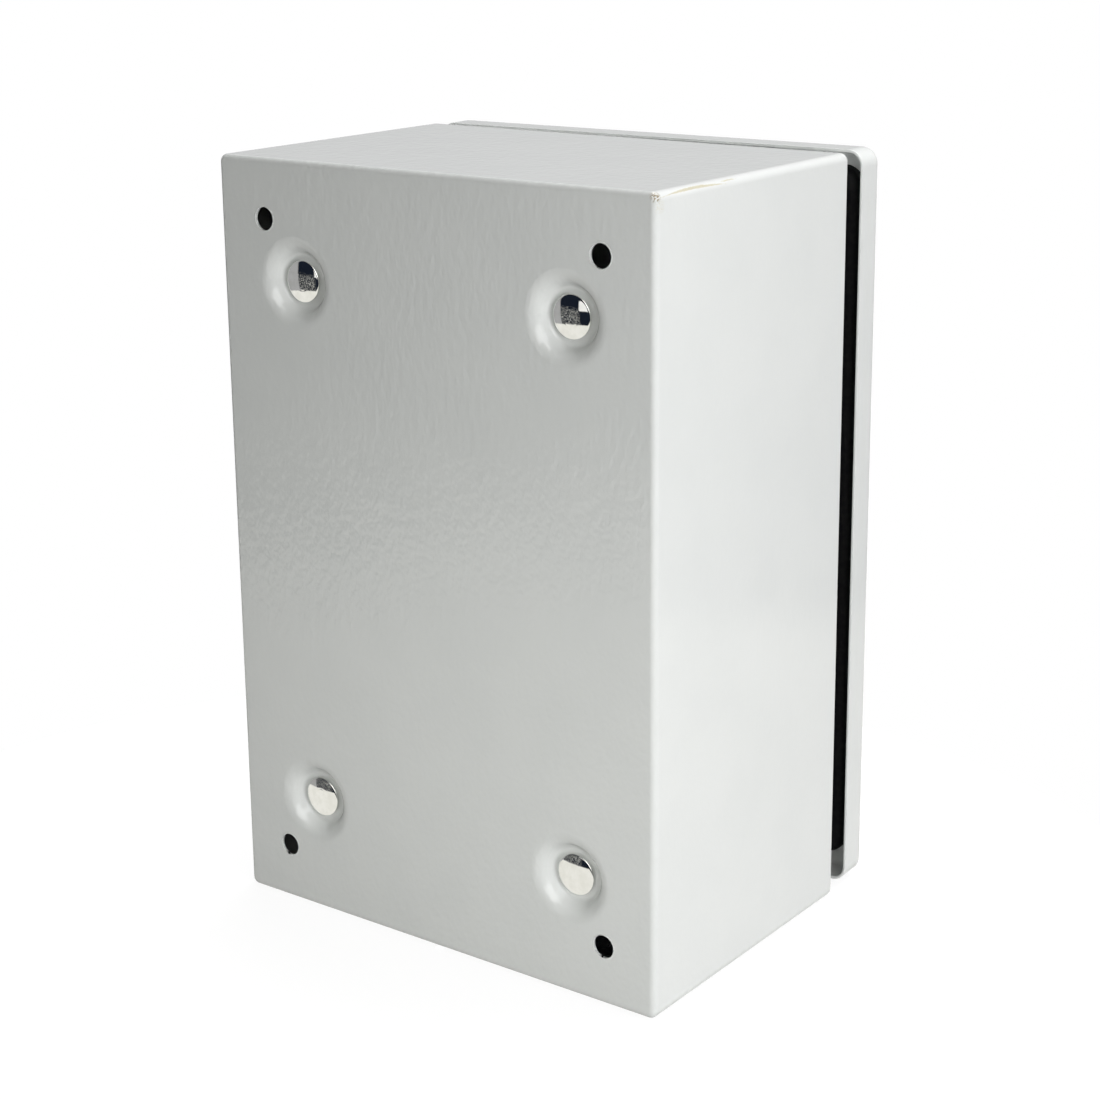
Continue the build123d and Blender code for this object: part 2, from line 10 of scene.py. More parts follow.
import bpy
import numpy as np
from mathutils import Euler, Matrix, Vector


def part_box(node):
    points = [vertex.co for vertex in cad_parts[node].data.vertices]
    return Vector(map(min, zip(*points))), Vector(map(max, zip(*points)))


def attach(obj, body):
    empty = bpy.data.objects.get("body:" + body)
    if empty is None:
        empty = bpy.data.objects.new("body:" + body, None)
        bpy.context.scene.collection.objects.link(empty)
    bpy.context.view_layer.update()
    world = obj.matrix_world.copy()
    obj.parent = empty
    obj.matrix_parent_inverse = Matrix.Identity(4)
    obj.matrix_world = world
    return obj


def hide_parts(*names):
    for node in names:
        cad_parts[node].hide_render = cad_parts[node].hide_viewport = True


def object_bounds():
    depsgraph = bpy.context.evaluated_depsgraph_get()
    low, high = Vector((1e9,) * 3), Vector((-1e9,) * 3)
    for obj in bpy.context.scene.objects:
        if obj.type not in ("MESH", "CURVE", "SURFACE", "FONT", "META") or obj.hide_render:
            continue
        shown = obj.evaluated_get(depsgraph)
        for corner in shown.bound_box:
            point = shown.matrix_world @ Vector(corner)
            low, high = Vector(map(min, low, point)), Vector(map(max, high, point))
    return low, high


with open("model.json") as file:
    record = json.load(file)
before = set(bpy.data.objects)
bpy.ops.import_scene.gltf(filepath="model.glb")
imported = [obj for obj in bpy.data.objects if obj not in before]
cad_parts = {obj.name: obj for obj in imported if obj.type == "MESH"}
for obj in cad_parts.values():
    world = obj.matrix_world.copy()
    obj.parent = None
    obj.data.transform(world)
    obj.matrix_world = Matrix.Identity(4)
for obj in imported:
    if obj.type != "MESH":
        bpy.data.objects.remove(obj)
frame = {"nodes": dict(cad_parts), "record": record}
solid_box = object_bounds()
solids = frame["nodes"]
print("solids:", len(solids), "box in metres:", [[round(v, 4) for v in corner] for corner in solid_box])

# %% [markdown]
# The camera stands behind the box, to the left of its lock side and a little above it. A lens
# half as long again as a normal one keeps the verticals almost parallel, and the picture was
# cut off-centre, which the two small shifts repeat.

# %% Camera
camera_place = (-0.5119, 0.6094, 0.2511)
camera_turn = (75.412, 0.498, -143.564)
lens = bpy.data.cameras.new("camera")
lens.lens = 73.62
lens.sensor_width = 36.0
lens.shift_x = -0.0091
lens.shift_y = -0.0818
lens.clip_start = 0.02
lens.clip_end = 20.0
camera = bpy.data.objects.new("camera", lens)
camera.location = camera_place
camera.rotation_euler = Euler([radians(angle) for angle in camera_turn])
bpy.context.scene.collection.objects.link(camera)
bpy.context.scene.camera = camera
bpy.context.scene.view_settings.view_transform = "Standard"
print("camera is", round(Vector(camera_place).length, 3), "m from the middle of the back")

# %% [markdown]
# Every finish is a small network of nodes. A few helpers keep the networks short: one adds a
# node and links or sets its inputs, one does a step of arithmetic, one mixes two colours, and
# two turn a value into a soft step or a soft band.


# %% Node helpers
def node(tree, kind, inputs=None, **options):
    """Adds a node to a tree. An input given as a socket is linked, any other value is set."""
    made = tree.nodes.new(kind)
    for name, value in options.items():
        setattr(made, name, value)
    for name, value in (inputs or {}).items():
        if isinstance(value, bpy.types.NodeSocket):
            tree.links.new(value, made.inputs[name])
        else:
            made.inputs[name].default_value = value
    return made


def work_out(tree, operation, first, second=0.0, third=0.0):
    """One step of arithmetic on up to three values."""
    step = node(tree, "ShaderNodeMath", {0: first, 1: second, 2: third}, operation=operation)
    return step.outputs[0]


def blend_colours(tree, factor, first, second):
    """The first colour where the factor is 0 and the second where it is 1."""
    colour_a, colour_b, mixed = 6, 7, 2
    made = node(tree, "ShaderNodeMix", {0: factor, colour_a: first, colour_b: second}, data_type="RGBA")
    return made.outputs[mixed]


def ramp(tree, value, low, high, start=0.0, end=1.0):
    """A value that goes smoothly from start, below low, to end, above high."""
    inputs = {"Value": value, "From Min": low, "From Max": high, "To Min": start, "To Max": end}
    return node(tree, "ShaderNodeMapRange", inputs, interpolation_type="SMOOTHSTEP").outputs[0]


def span(tree, value, low, high, soft):
    """A mask that is 1 between low and high and fades over the soft distance outside them."""
    rise = ramp(tree, value, low - soft, low)
    fall = ramp(tree, value, high, high + soft, start=1.0, end=0.0)
    return work_out(tree, "MULTIPLY", rise, fall)


# %% [markdown]
# The room is a studio. Matt surfaces take an even, faint light from all round it, and the
# camera sees plain white. Bright metal and glossy paint mirror the room itself, so for them it
# has a layout: a white table that reaches out to a far edge, grey walls above it, and an open
# end that is nearly black. A real room of this size would need large meshes and many samples,
# and a background that depends on direction needs neither. A place in the room is a compass
# angle and a rise, which the direction of the ray gives. Angles count from the X axis towards
# the wall that the box would hang on. The table's edge runs a little aslant, so its height is
# measured against an upward direction that leans.

# %% Room layout
ambient_level = 0.07
white = (1.0, 1.0, 1.0, 1.0)
room_grey = (0.42, 0.42, 0.43, 1.0)
room_dark = (0.010, 0.014, 0.024, 1.0)
room_table = (0.93, 0.92, 0.88, 1.0)
table_up = Vector((-0.0123, -0.0147, 0.9998))
table_edge = -0.298
table_edge_soft = 0.006
dark_from = radians(43.0)
dark_from_soft = 0.015
dark_to = radians(120.0)
dark_to_soft = 0.2
dark_top = 0.42
dark_top_soft = 0.15

world = bpy.data.worlds.new("studio")
world.use_nodes = True
bpy.context.scene.world = world
room = world.node_tree
room.nodes.clear()
ray = node(room, "ShaderNodeLightPath")
looking = node(room, "ShaderNodeTexCoord").outputs["Generated"]
along = node(room, "ShaderNodeSeparateXYZ", {0: looking})
rise = along.outputs["Z"]
compass = work_out(room, "ARCTAN2", along.outputs["Y"], along.outputs["X"])
past_start = ramp(room, compass, dark_from - dark_from_soft, dark_from + dark_from_soft)
before_end = ramp(room, compass, dark_to - dark_to_soft, dark_to + dark_to_soft, start=1.0, end=0.0)
below_top = ramp(room, rise, dark_top - dark_top_soft, dark_top + dark_top_soft, start=1.0, end=0.0)
darkness = work_out(room, "MULTIPLY", work_out(room, "MULTIPLY", past_start, before_end), below_top)
slope = node(room, "ShaderNodeVectorMath", {0: looking, 1: table_up}, operation="DOT_PRODUCT")
slope = slope.outputs["Value"]
on_table = ramp(room, slope, table_edge - table_edge_soft, table_edge + table_edge_soft, start=1.0, end=0.0)
print("dark end of the room from", round(dark_from, 2), "to", round(dark_to, 2), "radians")

# %% [markdown]
# Three things stand against the walls. A bright window shows in the polished stud heads. Grey
# clutter low in the dark end mottles the dark part of what the heads mirror. A large softbox
# hangs high on the camera's side, and each dimple shows it as a white spot.

# %% Things in the room
clutter_waves = 80.0
clutter_low_share = 0.53
clutter_high_share = 0.57
room_clutter = (0.50, 0.50, 0.48, 1.0)
softbox_white = (3.6, 3.6, 3.6, 1.0)


def wall_patch(compass_from, compass_to, low, high, soft_sides, soft_ends):
    """The two masks of a piece of wall: one between two angles in degrees, one between two rises."""
    sides = span(room, compass, radians(compass_from), radians(compass_to), soft_sides)
    ends = span(room, rise, low, high, soft_ends)
    return sides, ends


sides, ends = wall_patch(63.5, 74.0, low=-0.09, high=0.03, soft_sides=0.02, soft_ends=0.01)
window = work_out(room, "MULTIPLY", sides, ends)
sides, ends = wall_patch(45.0, 60.0, low=-0.27, high=-0.12, soft_sides=0.09, soft_ends=0.07)
clutter = node(room, "ShaderNodeTexNoise", {"Vector": looking, "Scale": clutter_waves, "Detail": 2.0})
clutter = ramp(room, clutter.outputs["Fac"], clutter_low_share, clutter_high_share)
clutter = work_out(room, "MULTIPLY", work_out(room, "MULTIPLY", clutter, sides), ends)
sides, ends = wall_patch(92.0, 148.0, low=0.18, high=0.80, soft_sides=0.03, soft_ends=0.02)
softbox = work_out(room, "MULTIPLY", sides, ends)
walls = blend_colours(room, darkness, room_grey, blend_colours(room, clutter, room_dark, room_clutter))
walls = blend_colours(room, window, walls, white)
walls = blend_colours(room, softbox, walls, softbox_white)
mirrored = blend_colours(room, on_table, walls, room_table)
print("softbox is", softbox_white[0], "times full white")

# %% [markdown]
# Light Path tells a camera ray from a mirrored one and from one that only gathers light, so
# each kind gets its own background, and two mixers choose between them. The mirrored room then
# lights nothing by itself, which keeps the faces even.

# %% Room light
even = node(room, "ShaderNodeBackground", {"Color": white, "Strength": ambient_level})
reflected = node(room, "ShaderNodeBackground", {"Color": mirrored, "Strength": 1.0})
seen = node(room, "ShaderNodeBackground", {"Color": white, "Strength": 1.0})
glossy = ray.outputs["Is Glossy Ray"]
matt_or_glossy = node(room, "ShaderNodeMixShader", {0: glossy, 1: even.outputs[0], 2: reflected.outputs[0]})
clear = work_out(room, "MAXIMUM", ray.outputs["Is Camera Ray"], ray.outputs["Is Transmission Ray"])
chosen = node(room, "ShaderNodeMixShader", {0: clear, 1: matt_or_glossy.outputs[0], 2: seen.outputs[0]})
node(room, "ShaderNodeOutputWorld", {"Surface": chosen.outputs[0]})
print("ambient level", ambient_level)

# %% [markdown]
# Soft lamps do the rest. The large one at the lock side makes that side the brightest. A
# nearer one rakes the back from the lock side, so that the back grows lighter towards it. One
# above the camera lifts the back evenly, one overhead lights the top, and a faint one fills in
# from the hinge side. One lights the front, which the camera doesn't see from here, and a
# small card low behind the box lifts the bottom of its back. Only the side lamp and the top
# lamp show in mirrors. The light that a small far lamp gives is its power over (pi r) squared,
# so the wanted level is turned into watts.


# %% Lamps
def soft_lamp(name, place, aim, size, level, tint=(1.0, 1.0, 1.0), mirrored=False):
    """A rectangular lamp that gives this level, against 1 for full white, on a face turned to it."""
    data = bpy.data.lights.new(name, "AREA")
    data.shape = "RECTANGLE"
    data.size, data.size_y = size
    path = Vector(aim) - Vector(place)
    data.energy = level * (pi * path.length) ** 2
    data.color = tint
    lamp = bpy.data.objects.new(name, data)
    lamp.location = place
    lamp.rotation_euler = path.to_track_quat("-Z", "Y").to_euler()
    lamp.visible_camera = False
    lamp.visible_glossy = mirrored
    bpy.context.scene.collection.objects.link(lamp)
    print(name, "gives level", level, "with", round(data.energy, 1), "W")


warm = (0.99, 1.0, 0.95)
soft_lamp("side_lamp", (-1.50, -0.50, 0.50), (-0.10, -0.06, 0.0), (1.3, 1.1), level=0.34, mirrored=True)
soft_lamp("raking_lamp", (-0.75, 0.34, 0.10), (-0.05, 0.0, 0.0), (0.4, 0.4), level=0.71)
soft_lamp("spot_lamp", (-0.69, 1.18, 0.78), (-0.06, 0.0, 0.05), (0.85, 0.62), level=0.14, tint=warm)
soft_lamp("top_lamp", (-0.15, -0.70, 1.45), (0.0, -0.06, 0.15), (1.2, 1.2), level=1.16, mirrored=True)
soft_lamp("fill_lamp", (1.00, 0.90, 0.90), (0.0, 0.0, 0.0), (0.8, 0.8), level=0.09, tint=warm)
soft_lamp("front_lamp", (1.20, -1.30, 0.60), (0.0, -0.10, 0.0), (1.4, 1.2), level=0.40)
soft_lamp("low_card", (-0.04, 0.30, -0.13), (-0.05, 0.0, -0.08), (0.12, 0.12), level=0.30, tint=warm)

# %% [markdown]
# The table is a round white top under the box. It throws a little light up on the back and
# takes a soft shadow. The camera must see it as plain white, so for the camera most of its
# white is its own glow. Mirrors don't see it, because the room already holds a table that
# reaches further.

# %% Table
table_radius = 0.30
table_middle_hole = 0.002
table_rings = 24
table_sides = 96
table_level = solid_box[0].z
table_white = (0.28, 0.28, 0.28, 1.0)
table_shaded = (0.18, 0.18, 0.18, 1.0)
table_glow = 0.88


def round_sheet(name, points):
    """Quads between the neighbours of a grid of points whose last column is joined to its first."""
    rows, columns = points.shape[:2]
    index = np.arange(rows * columns).reshape(rows, columns)
    index = np.hstack([index, index[:, :1]])
    corners = [index[:-1, :-1], index[1:, :-1], index[1:, 1:], index[:-1, 1:]]
    quads = np.stack(corners, axis=-1).reshape(-1, 4)
    mesh = bpy.data.meshes.new(name)
    mesh.from_pydata(points.reshape(-1, 3).tolist(), [], quads.tolist())
    piece = bpy.data.objects.new(name, mesh)
    bpy.context.scene.collection.objects.link(piece)
    return piece


angle = np.linspace(0.0, 2.0 * pi, table_sides, endpoint=False)
reach = np.linspace(table_middle_hole, table_radius, table_rings)[:, None]
top = np.stack(np.broadcast_arrays(reach * np.cos(angle), reach * np.sin(angle), table_level), axis=-1)
table = round_sheet("table", top)
table.visible_glossy = False
table_finish = bpy.data.materials.new("table_white")
table_finish.use_nodes = True
tree = table_finish.node_tree
ray = node(tree, "ShaderNodeLightPath")
direct = work_out(tree, "MAXIMUM", ray.outputs["Is Camera Ray"], ray.outputs["Is Transmission Ray"])
shader = tree.nodes["Principled BSDF"]
shader.inputs["Roughness"].default_value = 1.0
shader.inputs["Specular IOR Level"].default_value = 0.0
shader.inputs["Emission Color"].default_value = white
tree.links.new(blend_colours(tree, direct, table_white, table_shaded), shader.inputs["Base Color"])
tree.links.new(work_out(tree, "MULTIPLY", direct, table_glow), shader.inputs["Emission Strength"])
table.data.materials.append(table_finish)
print("table radius", table_radius, "at height", round(table_level, 4))

# %% [markdown]
# Some effects are used by more than one finish or need many steps, so each is a node group
# with named inputs: the orange-peel skin of sprayed paint, sparse specks of dust, and the worn
# corner. A group only gives out masks and normals, and the shader itself stays in the finish.


# %% Empty group
def new_group(name, inputs, outputs):
    """An empty node group with these sockets: its tree, its inputs and its outputs."""
    made = bpy.data.node_groups.new(name, "ShaderNodeTree")
    for label, kind, value in inputs:
        socket = made.interface.new_socket(label, in_out="INPUT", socket_type=kind)
        if value is not None:
            socket.default_value = value
    for label, kind in outputs:
        made.interface.new_socket(label, in_out="OUTPUT", socket_type=kind)
    entry = made.nodes.new("NodeGroupInput")
    leave = made.nodes.new("NodeGroupOutput")
    return made, entry.outputs, leave.inputs


# %% [markdown]
# Orange peel is a field of low, rounded bumps. Real bumps would need millions of faces, so a
# noise of the right wavelength tilts the normals instead.

# %% Orange peel
finer_waves = 2.7
finer_share = 0.25


def orange_peel_group():
    """Rounded bumps of two sizes: a smooth noise with waves a cell apart, and one about a third of that."""
    inputs = [
        ("Place", "NodeSocketVector", None),
        ("Cell size", "NodeSocketFloat", 0.0030),
        ("Depth", "NodeSocketFloat", 0.00010),
    ]
    tree, given, out = new_group("orange_peel", inputs, [("Normal", "NodeSocketVector")])
    waves = work_out(tree, "DIVIDE", 1.0, given["Cell size"])
    coarse = node(tree, "ShaderNodeTexNoise", {"Vector": given["Place"], "Scale": waves, "Detail": 1.0})
    finer = work_out(tree, "MULTIPLY", waves, finer_waves)
    fine = node(tree, "ShaderNodeTexNoise", {"Vector": given["Place"], "Scale": finer, "Detail": 0.0})
    height = work_out(tree, "MULTIPLY_ADD", fine.outputs["Fac"], finer_share, coarse.outputs["Fac"])
    bump = node(tree, "ShaderNodeBump", {"Height": height, "Distance": given["Depth"], "Strength": 1.0})
    tree.links.new(bump.outputs["Normal"], out["Normal"])
    return tree


orange_peel = orange_peel_group()
print("orange peel group has", len(orange_peel.nodes), "nodes")

# %% [markdown]
# A speck of dust under the paint is a dot of a fraction of a millimetre. Scattered cells give
# the dots their places, and a lot drawn for each cell leaves most of them empty.

# %% Dust specks
speck_core = 0.6


def speck_group():
    """Sparse dots: the middles of scattered cells, kept where the cell's own random value is small."""
    inputs = [
        ("Place", "NodeSocketVector", None),
        ("Spacing", "NodeSocketFloat", 0.006),
        ("Radius", "NodeSocketFloat", 0.00012),
        ("Share", "NodeSocketFloat", 0.15),
    ]
    tree, given, out = new_group("specks", inputs, [("Mask", "NodeSocketFloat")])
    density = work_out(tree, "DIVIDE", 1.0, given["Spacing"])
    cells = node(tree, "ShaderNodeTexVoronoi", {"Vector": given["Place"], "Scale": density})
    distance = work_out(tree, "MULTIPLY", cells.outputs["Distance"], given["Spacing"])
    inner = work_out(tree, "MULTIPLY", given["Radius"], speck_core)
    dot = ramp(tree, distance, inner, given["Radius"], start=1.0, end=0.0)
    lot = node(tree, "ShaderNodeSeparateColor", {"Color": cells.outputs["Color"]}).outputs["Red"]
    kept = work_out(tree, "LESS_THAN", lot, given["Share"])
    tree.links.new(work_out(tree, "MULTIPLY", dot, kept), out["Mask"])
    return tree


specks = speck_group()
print("speck group has", len(specks.nodes), "nodes")

# %% [markdown]
# The upper corner on the lock side is worn. A long spot and a short one lie on its edge, where
# the paint is gone and pale filler shows, streaked with rust. The very corner is rusty, and a
# few crumbs of filler sit below it. The spots are drawn by distances from named places, with a
# noise that makes their outlines ragged, so they stay sharp from near and need no image.

# %% Worn corner
millimetres_per_metre = 1000.0
near_side_from, near_side_to = -98.6, -97.6
corner_middle = (-99.6, -0.9, 148.9)
crumb_middle = (-99.8, -2.6, 145.0)
ragged_waves = 1.6
ragged_depth = 0.9
spot_fade_from, spot_fade_to = -0.12, 0.04
fleck_waves = 2.6
flecks_from, flecks_to = 0.46, 0.54
crumbs_from, crumbs_to = 0.52, 0.60
streaks_from, streaks_to = 0.40, 0.62
filler_cover = 0.75
crumb_cover = 0.6
streak_cover = 0.55
streak_rust = 0.35


def edge_chip_group():
    """Worn spots at one upper corner, as masks in millimetres from the box's middle.

    A spot along the edge is where |z - middle(y)| is under width(y). Both are parabolas in y.
    """
    outputs = [("Filler", "NodeSocketFloat"), ("Rust", "NodeSocketFloat")]
    tree, given, out = new_group("edge_chips", [("Place", "NodeSocketVector", None)], outputs)
    to_millimetres = {0: given["Place"], "Scale": millimetres_per_metre}
    scaled = node(tree, "ShaderNodeVectorMath", to_millimetres, operation="SCALE").outputs[0]
    axis = node(tree, "ShaderNodeSeparateXYZ", {0: scaled})
    across, depth, level = axis.outputs["X"], axis.outputs["Y"], axis.outputs["Z"]
    grain = node(tree, "ShaderNodeTexNoise", {"Vector": scaled, "Scale": ragged_waves, "Detail": 3.0})
    grain = grain.outputs["Fac"]
    rough = work_out(tree, "MULTIPLY", work_out(tree, "SUBTRACT", grain, 0.5), ragged_depth)
    near_side = ramp(tree, across, near_side_from, near_side_to, start=1.0, end=0.0)

    def spot(middle_y, half_length, peak, droop, width):
        """One long spot: its middle falls from the peak by droop at both ends, where its width is zero."""
        along = work_out(tree, "DIVIDE", work_out(tree, "SUBTRACT", depth, middle_y), half_length)
        square = work_out(tree, "MULTIPLY", along, along)
        middle = work_out(tree, "MULTIPLY_ADD", square, -droop, peak)
        reach = work_out(tree, "MULTIPLY_ADD", square, -width, width)
        off = work_out(tree, "ABSOLUTE", work_out(tree, "SUBTRACT", level, middle))
        off = work_out(tree, "ADD", off, rough)
        past = work_out(tree, "SUBTRACT", off, reach)
        inside = ramp(tree, past, spot_fade_from, spot_fade_to, start=1.0, end=0.0)
        return work_out(tree, "MULTIPLY", inside, work_out(tree, "GREATER_THAN", reach, 0.0))

    def near(middle, inner, outer):
        """A mask that is 1 within the inner distance of a point and 0 beyond the outer one."""
        distance = node(tree, "ShaderNodeVectorMath", {0: scaled, 1: middle}, operation="DISTANCE")
        return ramp(tree, distance.outputs["Value"], inner, outer, start=1.0, end=0.0)

    strip = spot(middle_y=-23.5, half_length=20.5, peak=148.9, droop=0.9, width=0.45)
    second = spot(middle_y=-45.0, half_length=5.5, peak=149.1, droop=0.1, width=0.22)
    worn = work_out(tree, "MULTIPLY", work_out(tree, "MAXIMUM", strip, second), near_side)
    corner = near(corner_middle, inner=1.4, outer=3.0)
    below = near(crumb_middle, inner=1.0, outer=3.2)
    fine = node(tree, "ShaderNodeTexNoise", {"Vector": scaled, "Scale": fleck_waves, "Detail": 2.0})
    flecks = ramp(tree, fine.outputs["Fac"], flecks_from, flecks_to)
    crumbs = ramp(tree, fine.outputs["Fac"], crumbs_from, crumbs_to)
    streaks = ramp(tree, grain, streaks_from, streaks_to)
    rust = work_out(tree, "MULTIPLY", corner, flecks)
    crumb = work_out(tree, "MULTIPLY", work_out(tree, "MULTIPLY", below, crumbs), crumb_cover)
    streak = work_out(tree, "MULTIPLY", worn, work_out(tree, "MULTIPLY", streaks, streak_cover))
    filler = work_out(tree, "MAXIMUM", work_out(tree, "MULTIPLY", worn, filler_cover), crumb)
    rust = work_out(tree, "MAXIMUM", rust, work_out(tree, "MULTIPLY", streak, streak_rust))
    tree.links.new(filler, out["Filler"])
    tree.links.new(rust, out["Rust"])
    return tree


edge_chips = edge_chip_group()
print("node groups:", [group.name for group in bpy.data.node_groups])

# %% [markdown]
# A finish starts as an empty material with one Principled shader. All patterns follow the
# object's own coordinates in metres, so a pattern keeps its real size and moves with the piece.

# %% Start of a finish
noise_low, noise_high = 0.3, 0.7


def new_finish(name, metallic, roughness):
    """A material with plain metal and gloss values: itself, its tree, its shader and its coordinates."""
    material = bpy.data.materials.new(name)
    material.use_nodes = True
    tree = material.node_tree
    shader = tree.nodes["Principled BSDF"]
    shader.inputs["Metallic"].default_value = metallic
    shader.inputs["Roughness"].default_value = roughness
    place = node(tree, "ShaderNodeTexCoord").outputs["Object"]
    return material, tree, shader, place


def clouds(tree, place, size, low, high, detail=2.0):
    """Soft patches of about this size, as a value between low and high."""
    noise = node(tree, "ShaderNodeTexNoise", {"Vector": place, "Scale": 1.0 / size, "Detail": detail})
    return ramp(tree, noise.outputs["Fac"], noise_low, noise_high, low, high)


# %% [markdown]
# Powder coat is light grey, a little green against pure grey, and quite glossy. It melts on
# the sheet and levels out as orange peel, which is deepest on the back and longer upwards.
# The paint is almost even in colour, with a few dark specks of dust that the photograph shows
# on the flat faces, and it is gone where the corner is worn.

# %% Powder coat
paint_colour = (0.738, 0.752, 0.742, 1.0)
paint_shade = (0.722, 0.737, 0.728, 1.0)
paint_patch = 0.03
paint_gloss_patch = 0.004
paint_gloss = (0.045, 0.075)
dust_colour = (0.25, 0.25, 0.24, 1.0)
dust_spacing = 0.011
dust_share = 0.22
filler_colour = (0.58, 0.53, 0.36, 1.0)
rust_colour = (0.24, 0.19, 0.10, 1.0)
peel_stretch = (1.0, 1.0, 0.65)
peel_elsewhere = 0.00006
peel_on_back = 0.00018
back_from, back_to = -0.004, -0.001


def powder_coat():
    """Light grey paint with orange peel, dust specks and a worn corner."""
    material, tree, shader, place = new_finish("powder_coat", 0.0, sum(paint_gloss) / 2)
    patches = clouds(tree, place, paint_patch, 0.0, 1.0)
    colour = blend_colours(tree, patches, paint_colour, paint_shade)
    dust = {"Place": place, "Spacing": dust_spacing, "Share": dust_share}
    dots = node(tree, "ShaderNodeGroup", dust, node_tree=specks)
    colour = blend_colours(tree, dots.outputs["Mask"], colour, dust_colour)
    chips = node(tree, "ShaderNodeGroup", {"Place": place}, node_tree=edge_chips)
    colour = blend_colours(tree, chips.outputs["Filler"], colour, filler_colour)
    colour = blend_colours(tree, chips.outputs["Rust"], colour, rust_colour)
    stretched = node(tree, "ShaderNodeVectorMath", {0: place, 1: peel_stretch}, operation="MULTIPLY")
    behind = node(tree, "ShaderNodeSeparateXYZ", {0: place}).outputs["Y"]
    peel_depth = ramp(tree, behind, back_from, back_to, peel_elsewhere, peel_on_back)
    skin = {"Place": stretched.outputs[0], "Depth": peel_depth}
    peel = node(tree, "ShaderNodeGroup", skin, node_tree=orange_peel)
    tree.links.new(colour, shader.inputs["Base Color"])
    tree.links.new(clouds(tree, place, paint_gloss_patch, *paint_gloss), shader.inputs["Roughness"])
    tree.links.new(peel.outputs["Normal"], shader.inputs["Normal"])
    return material


paint = powder_coat()
print("paint depth on the back", peel_on_back, "and elsewhere", peel_elsewhere)

# %% [markdown]
# The studs are plated and polished, so they mirror the room. The other metals are duller:
# zinc and copper plating, ground steel, cast zinc and the lock's chrome. All are one recipe
# with its own values, because real metals of this kind differ only in colour, gloss and grain.

# %% Metals
gloss_patch_share = 0.6
grain_share = 0.3


def plain_metal(name, light, dark, roughness, patch, spread=0.08, depth=0.000002):
    """A metal whose colour and gloss wander between two values in patches, with an uneven skin."""
    material, tree, shader, place = new_finish(name, 1.0, roughness)
    patches = clouds(tree, place, patch, 0.0, 1.0, detail=4.0)
    dull, shiny = roughness + spread / 2, roughness - spread / 2
    gloss = clouds(tree, place, patch * gloss_patch_share, shiny, dull, detail=4.0)
    grain = {"Place": place, "Cell size": patch * grain_share, "Depth": depth}
    skin = node(tree, "ShaderNodeGroup", grain, node_tree=orange_peel)
    tree.links.new(blend_colours(tree, patches, light, dark), shader.inputs["Base Color"])
    tree.links.new(gloss, shader.inputs["Roughness"])
    tree.links.new(skin.outputs["Normal"], shader.inputs["Normal"])
    return material


stud_light, stud_dark = (0.86, 0.86, 0.83, 1), (0.80, 0.80, 0.76, 1)
stud_plating = plain_metal("stud_plating", stud_light, stud_dark, roughness=0.035, patch=0.004, spread=0.03)
zinc_light, zinc_dark = (0.76, 0.78, 0.80, 1), (0.64, 0.66, 0.68, 1)
zinc_plating = plain_metal("zinc_plating", zinc_light, zinc_dark, roughness=0.26, patch=0.003)
copper_light, copper_dark = (0.86, 0.55, 0.40, 1), (0.72, 0.43, 0.30, 1)
copper_plating = plain_metal("copper_plating", copper_light, copper_dark, roughness=0.28, patch=0.003)
steel_light, steel_dark = (0.66, 0.66, 0.65, 1), (0.55, 0.55, 0.54, 1)
ground_steel = plain_metal("ground_steel", steel_light, steel_dark, roughness=0.22, patch=0.003)
cast_light, cast_dark = (0.66, 0.66, 0.65, 1), (0.58, 0.58, 0.57, 1)
cast_zinc = plain_metal("cast_zinc", cast_light, cast_dark, 0.34, patch=0.004, spread=0.1, depth=0.00001)
chrome_light, chrome_dark = (0.78, 0.79, 0.80, 1), (0.72, 0.73, 0.74, 1)
lock_chrome = plain_metal("lock_chrome", chrome_light, chrome_dark, 0.10, patch=0.005, spread=0.04)
metals = [stud_plating, zinc_plating, copper_plating, ground_steel, cast_zinc, lock_chrome]
print("metals:", [metal.name for metal in metals])

# %% [markdown]
# The mounting plate, the gland plate, the hinge parts and the keeper are cut from galvanised
# sheet. Hot zinc sets on it as flat crystals, each with its own grey and gloss, so a pattern
# of cells with slightly bent borders draws them.

# %% Galvanised sheet
crystals_per_metre = 130.0
crystal_light, crystal_dark = (0.74, 0.76, 0.78, 1), (0.56, 0.58, 0.60, 1)
crystal_gloss = (0.24, 0.44)
border_waves = 160.0
border_bend = (0.003, 0.003, 0.003)


def galvanised():
    """Hot-dip zinc: flat crystals a few millimetres wide, each with its own grey and gloss."""
    material, tree, shader, place = new_finish("galvanised_sheet", 1.0, 0.35)
    bent = node(tree, "ShaderNodeTexNoise", {"Vector": place, "Scale": border_waves, "Detail": 2.0})
    moved = {0: bent.outputs["Color"], 1: border_bend, 2: place}
    shifted = node(tree, "ShaderNodeVectorMath", moved, operation="MULTIPLY_ADD")
    cells = {"Vector": shifted.outputs[0], "Scale": crystals_per_metre}
    crystals = node(tree, "ShaderNodeTexVoronoi", cells)
    lot = node(tree, "ShaderNodeSeparateColor", {"Color": crystals.outputs["Color"]})
    colour = blend_colours(tree, lot.outputs["Red"], crystal_dark, crystal_light)
    gloss = ramp(tree, lot.outputs["Green"], 0.0, 1.0, *crystal_gloss)
    tree.links.new(colour, shader.inputs["Base Color"])
    tree.links.new(gloss, shader.inputs["Roughness"])
    return material


galvanised_sheet = galvanised()
print("crystals per metre", crystals_per_metre)

# %% [markdown]
# The gaskets are foam that was poured in place, and the lock has a rubber seal. Both are black
# with a closed, slightly pitted skin and hardly any shine.

# %% Foam and rubber
foam_black, foam_grey = (0.004, 0.004, 0.005, 1), (0.009, 0.009, 0.009, 1)
foam_patch = 0.002
foam_shine = 0.1


